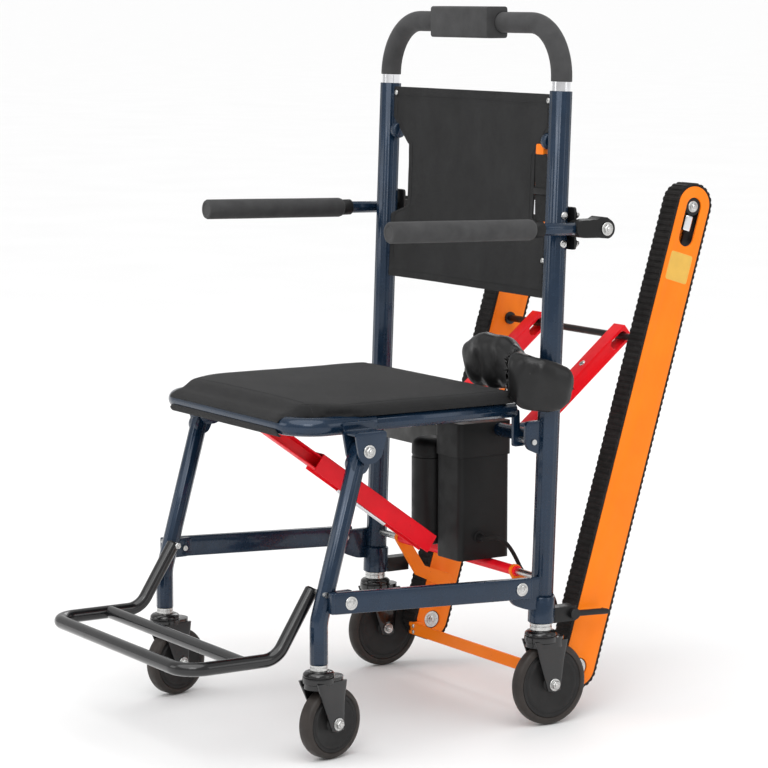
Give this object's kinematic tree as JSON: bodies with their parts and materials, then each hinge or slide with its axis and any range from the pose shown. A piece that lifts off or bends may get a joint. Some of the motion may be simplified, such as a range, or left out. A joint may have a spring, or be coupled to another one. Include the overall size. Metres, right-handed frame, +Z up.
{
  "type": "powered stair chair",
  "caption": "Folding carrying chair on swivel casters, with rubber stair tracks hinged behind the back, a sliding push handle, flip-up arms, a footrest and a battery drive.",
  "frame": {"origin": "middle of the chair's outline in plan, on the floor", "axes": "+Z up, -Y is the way the seated person faces, +X is the seated person's left"},
  "size_m": [0.542, 0.8809, 1.02],
  "materials": {
    "belt_rubber": "matte",
    "black_paint": "gloss",
    "black_plastic": "matte",
    "cloth": "woven",
    "foam": "matte",
    "navy_paint": "gloss",
    "orange_plate": "satin",
    "red_paint": "satin",
    "steel": "bright",
    "vinyl": "satin",
    "webbing": "woven",
    "wheel_rubber": "satin"
  },
  "bodies": {
    "frame": {"main_frame": "navy_paint", "armrest_bracket_left": "black_paint", "armrest_bracket_right": "black_paint", "backrest_sling": "cloth", "belt_pad": "vinyl", "harness_strap": "webbing", "motor_plate": "black_paint", "motor_housing": "black_plastic", "battery_box": "black_plastic", "battery_cap": "black_plastic", "battery_cable": "belt_rubber"},
    "handle": {"handle_tube": "steel", "handle_grip_left": "foam", "handle_grip_right": "foam", "control_box": "black_plastic"},
    "seat": {"seat_frame": "navy_paint", "seat_pad": "cloth", "brace_outer": "red_paint", "brace_inner": "red_paint", "brace_rod": "steel"},
    "front_legs": {"front_leg_left": "navy_paint", "front_leg_right": "navy_paint", "seat_front_bolt_left": "steel", "seat_front_bolt_right": "steel"},
    "lower_bars": {"lower_bar_left": "navy_paint", "lower_bar_right": "navy_paint"},
    "footrest": {"footrest": "black_paint"},
    "tracks": {"track_core_left": "orange_plate", "track_core_right": "orange_plate", "track_belt_left": "belt_rubber", "track_belt_right": "belt_rubber", "track_cross_bar": "orange_plate", "track_hinge_frame": "red_paint", "strut_rod": "steel"},
    "track_struts": {"track_strut_left": "red_paint", "track_strut_right": "red_paint"},
    "drive": {"drive_hub_left": "steel", "drive_hub_right": "steel"},
    "knob_left": {"handle_lock_knob_left": "navy_paint"},
    "armrest_left": {"armrest_tube_left": "navy_paint", "armrest_pad_left": "foam"},
    "brake_left": {"brake_pedal_left": "black_paint"},
    "roller_left": {"tension_roller_left": "steel"},
    "front_caster_left": {"front_fork_left": "black_paint"},
    "front_wheel_left": {"front_tyre_left": "wheel_rubber", "front_hub_left": "black_plastic"},
    "rear_caster_left": {"rear_fork_left": "black_paint"},
    "rear_wheel_left": {"rear_tyre_left": "wheel_rubber", "rear_hub_left": "black_plastic"},
    "knob_right": {"handle_lock_knob_right": "navy_paint"},
    "armrest_right": {"armrest_tube_right": "navy_paint", "armrest_pad_right": "foam"},
    "brake_right": {"brake_pedal_right": "black_paint"},
    "roller_right": {"tension_roller_right": "steel"},
    "front_caster_right": {"front_fork_right": "black_paint"},
    "front_wheel_right": {"front_tyre_right": "wheel_rubber", "front_hub_right": "black_plastic"},
    "rear_caster_right": {"rear_fork_right": "black_paint"},
    "rear_wheel_right": {"rear_tyre_right": "wheel_rubber", "rear_hub_right": "black_plastic"}
  },
  "joints": [
    {"name": "handle_extend", "type": "slide", "parent": "frame", "child": "handle", "axis": [0, 0.0372, 0.9993], "range_m": [0, 0.2]},
    {"name": "seat_fold", "type": "hinge", "parent": "frame", "child": "seat", "pos_m": [0, 0.116, 0.411], "axis": [-1, 0, 0], "range_deg": [0, 60], "deforming": ["belt_pad"]},
    {"name": "legs_fold", "type": "hinge", "parent": "seat", "child": "front_legs", "pos_m": [0, -0.166, 0.423], "axis": [-1, 0, 0], "range_deg": [-60, 0]},
    {"name": "links_fold", "type": "hinge", "parent": "frame", "child": "lower_bars", "pos_m": [0, 0.082, 0.207], "axis": [-1, 0, 0], "range_deg": [0, 60]},
    {"name": "footrest_flip", "type": "hinge", "parent": "front_legs", "child": "footrest", "pos_m": [0, -0.231, 0.231], "axis": [-1, 0, 0], "range_deg": [0, 90]},
    {"name": "tracks_fold", "type": "hinge", "parent": "frame", "child": "tracks", "pos_m": [0, 0.1356, 0.213], "axis": [1, 0, 0], "range_deg": [0, 16], "deforming": ["battery_cable"]},
    {"name": "struts_fold", "type": "hinge", "parent": "frame", "child": "track_struts", "pos_m": [0, 0.201, 0.414], "axis": [1, 0, 0], "range_deg": [0, 33.2]},
    {"name": "drive_spin", "type": "hinge", "parent": "tracks", "child": "drive", "pos_m": [0, 0.2085, 0.0725], "axis": [1, 0, 0], "continuous": true},
    {"name": "knob_turn_left", "type": "hinge", "parent": "frame", "child": "knob_left", "pos_m": [0.2, 0.15863, 0.832], "axis": [1, 0, 0], "range_deg": [-90, 90]},
    {"name": "armrest_flip_left", "type": "hinge", "parent": "frame", "child": "armrest_left", "pos_m": [0.2536, 0.211, 0.711], "axis": [-1, 0, 0], "range_deg": [0, 92]},
    {"name": "brake_press_left", "type": "hinge", "parent": "frame", "child": "brake_left", "pos_m": [0.236, 0.182, 0.159], "axis": [-1, 0, 0], "range_deg": [0, 12]},
    {"name": "roller_spin_left", "type": "hinge", "parent": "tracks", "child": "roller_left", "pos_m": [0.194, 0.40742, 0.73109], "axis": [1, 0, 0], "continuous": true},
    {"name": "front_swivel_left", "type": "hinge", "parent": "front_legs", "child": "front_caster_left", "pos_m": [0.222, -0.236, 0.127], "axis": [0, 0, 1], "continuous": true},
    {"name": "front_spin_left", "type": "hinge", "parent": "front_caster_left", "child": "front_wheel_left", "pos_m": [0.21784, -0.21644, 0.05], "axis": [0.9781, 0.2079, 0], "continuous": true},
    {"name": "rear_swivel_left", "type": "hinge", "parent": "frame", "child": "rear_caster_left", "pos_m": [0.222, 0.133, 0.141], "axis": [0, 0, 1], "range_deg": [-270, 0]},
    {"name": "rear_spin_left", "type": "hinge", "parent": "rear_caster_left", "child": "rear_wheel_left", "pos_m": [0.222, 0.147, 0.06], "axis": [1, 0, 0], "continuous": true},
    {"name": "knob_turn_right", "type": "hinge", "parent": "frame", "child": "knob_right", "pos_m": [-0.2, 0.15863, 0.832], "axis": [1, 0, 0], "range_deg": [-90, 90]},
    {"name": "armrest_flip_right", "type": "hinge", "parent": "frame", "child": "armrest_right", "pos_m": [-0.2536, 0.211, 0.711], "axis": [-1, 0, 0], "range_deg": [0, 92]},
    {"name": "brake_press_right", "type": "hinge", "parent": "frame", "child": "brake_right", "pos_m": [-0.236, 0.182, 0.159], "axis": [-1, 0, 0], "range_deg": [0, 12]},
    {"name": "roller_spin_right", "type": "hinge", "parent": "tracks", "child": "roller_right", "pos_m": [-0.194, 0.40742, 0.73109], "axis": [1, 0, 0], "continuous": true},
    {"name": "front_swivel_right", "type": "hinge", "parent": "front_legs", "child": "front_caster_right", "pos_m": [-0.222, -0.236, 0.127], "axis": [0, 0, 1], "continuous": true},
    {"name": "front_spin_right", "type": "hinge", "parent": "front_caster_right", "child": "front_wheel_right", "pos_m": [-0.22616, -0.21644, 0.05], "axis": [0.9781, 0.2079, 0], "continuous": true},
    {"name": "rear_swivel_right", "type": "hinge", "parent": "frame", "child": "rear_caster_right", "pos_m": [-0.222, 0.133, 0.141], "axis": [0, 0, 1], "range_deg": [0, 270]},
    {"name": "rear_spin_right", "type": "hinge", "parent": "rear_caster_right", "child": "rear_wheel_right", "pos_m": [-0.222, 0.147, 0.06], "axis": [1, 0, 0], "continuous": true}
  ],
  "couplings": [
    {"joint": "legs_fold", "follows": "seat_fold", "ratio": -1},
    {"joint": "links_fold", "follows": "seat_fold", "ratio": 1},
    {"joint": "struts_fold", "follows": "tracks_fold", "ratio": 2.07},
    {"joint": "roller_spin_left", "follows": "drive_spin", "ratio": 1},
    {"joint": "roller_spin_right", "follows": "drive_spin", "ratio": 1}
  ]
}
